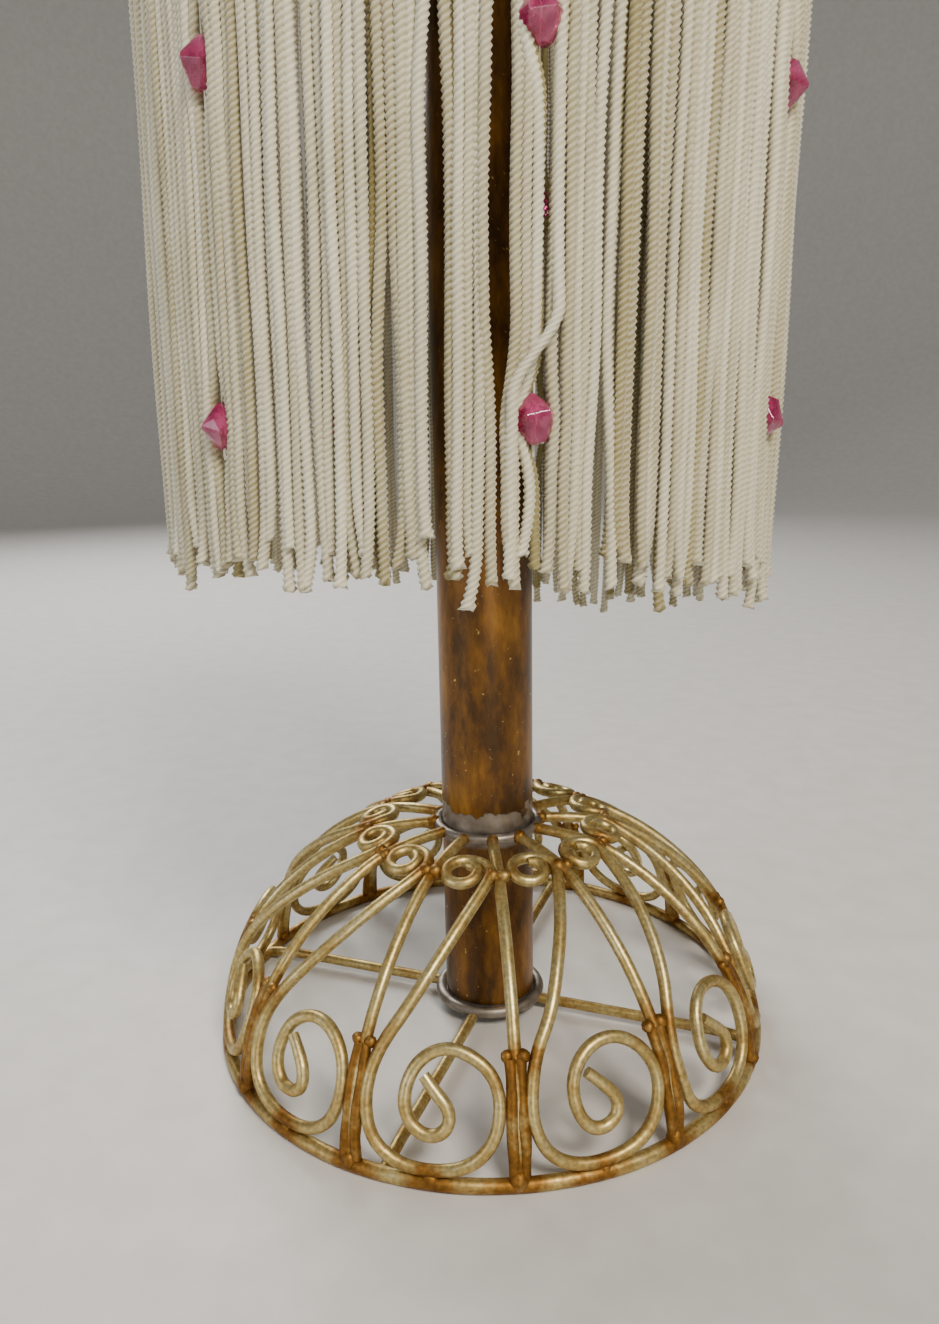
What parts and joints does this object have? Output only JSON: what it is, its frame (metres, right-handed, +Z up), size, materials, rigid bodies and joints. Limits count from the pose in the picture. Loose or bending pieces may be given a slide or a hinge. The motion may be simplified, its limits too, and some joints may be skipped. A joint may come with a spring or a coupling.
{
  "type": "fringed lamp shade on stand",
  "caption": "Cylindrical cord-fringe lamp shade with sunk faceted beads on a scrolled wire dome, carried by a tube column on a matching scrolled wire foot.",
  "frame": {"origin": "on the column's axis at the table, under the middle of the foot's base ring", "axes": "+Z up along the column, -Y the front as pictured, +X to the viewer's right"},
  "size_m": [0.133, 0.133, 0.3388],
  "materials": {
    "gilt_wire": "aged gilt over brown patina",
    "bare_metal": "worn bare",
    "lacquered_brass": "mottled amber lacquer",
    "plated_steel": "zinc plated",
    "turned_brass": "turned",
    "holder_plastic": "moulded ivory",
    "bulb_glass": "clear",
    "fringe_cotton": "knitted cord",
    "pink_acrylic": "clear faceted"
  },
  "bodies": {
    "stand": {"foot_ring": "gilt_wire", "foot_ribs": "gilt_wire", "foot_scrolls": "gilt_wire", "foot_top_collar": "bare_metal", "foot_struts": "gilt_wire", "foot_bottom_collar": "bare_metal", "column_tube": "lacquered_brass", "threaded_rod": "plated_steel", "bottom_washer": "plated_steel", "bottom_nut": "plated_steel", "cord_bushing": "holder_plastic", "tube_cap": "turned_brass", "lampholder_cap": "holder_plastic", "lampholder_shell": "holder_plastic", "lampholder_insert": "holder_plastic", "lampholder_screw_shell": "plated_steel", "lampholder_contact": "plated_steel"},
    "shade": {"shade_ring": "gilt_wire", "shade_ribs": "gilt_wire", "shade_scrolls": "gilt_wire", "shade_top_collar": "gilt_wire", "shade_struts": "gilt_wire", "shade_fitter_ring": "turned_brass", "header_braid": "fringe_cotton"},
    "shade_nut": {"shade_ring_nut": "holder_plastic"},
    "bulb": {"bulb_glass": "bulb_glass", "bulb_cap": "plated_steel", "bulb_stem": "bulb_glass", "bulb_filament": "plated_steel"},
    "fringe_1": {"fringe_cords_1": "fringe_cotton", "beads_1": "pink_acrylic"},
    "fringe_2": {"fringe_cords_2": "fringe_cotton", "beads_2": "pink_acrylic"},
    "fringe_3": {"fringe_cords_3": "fringe_cotton", "beads_3": "pink_acrylic"},
    "fringe_4": {"fringe_cords_4": "fringe_cotton", "beads_4": "pink_acrylic"},
    "fringe_5": {"fringe_cords_5": "fringe_cotton", "beads_5": "pink_acrylic"},
    "fringe_6": {"fringe_cords_6": "fringe_cotton", "beads_6": "pink_acrylic"},
    "fringe_7": {"fringe_cords_7": "fringe_cotton", "beads_7": "pink_acrylic"}
  },
  "joints": [
    {"name": "shade_swivel", "type": "hinge", "parent": "stand", "child": "shade", "pos_m": [0, 0, 0.291], "axis": [0, 0, 1], "continuous": true},
    {"name": "nut_turn", "type": "hinge", "parent": "stand", "child": "shade_nut", "pos_m": [0, 0, 0.294], "axis": [0, 0, 1], "continuous": true},
    {"name": "bulb_turn", "type": "hinge", "parent": "stand", "child": "bulb", "pos_m": [0, 0, 0.29], "axis": [0, 0, 1], "continuous": true},
    {"name": "fringe_1_swing", "type": "hinge", "parent": "shade", "child": "fringe_1", "pos_m": [0.00941, -0.06148, 0.284], "axis": [-0.9885, -0.1513, 0], "range_deg": [0, 25]},
    {"name": "fringe_2_swing", "type": "hinge", "parent": "shade", "child": "fringe_2", "pos_m": [0.05394, -0.03098, 0.284], "axis": [-0.4981, -0.8671, 0], "range_deg": [0, 25]},
    {"name": "fringe_3_swing", "type": "hinge", "parent": "shade", "child": "fringe_3", "pos_m": [0.05785, 0.02285, 0.284], "axis": [0.3674, -0.9301, 0], "range_deg": [0, 25]},
    {"name": "fringe_4_swing", "type": "hinge", "parent": "shade", "child": "fringe_4", "pos_m": [0.0182, 0.05948, 0.284], "axis": [0.9562, -0.2926, 0], "range_deg": [0, 25]},
    {"name": "fringe_5_swing", "type": "hinge", "parent": "shade", "child": "fringe_5", "pos_m": [-0.03515, 0.05131, 0.284], "axis": [0.825, 0.5652, 0], "range_deg": [0, 25]},
    {"name": "fringe_6_swing", "type": "hinge", "parent": "shade", "child": "fringe_6", "pos_m": [-0.06204, 0.00451, 0.284], "axis": [0.0725, 0.9974, 0], "range_deg": [0, 25]},
    {"name": "fringe_7_swing", "type": "hinge", "parent": "shade", "child": "fringe_7", "pos_m": [-0.0422, -0.04569, 0.284], "axis": [-0.7346, 0.6785, 0], "range_deg": [0, 25]}
  ]
}
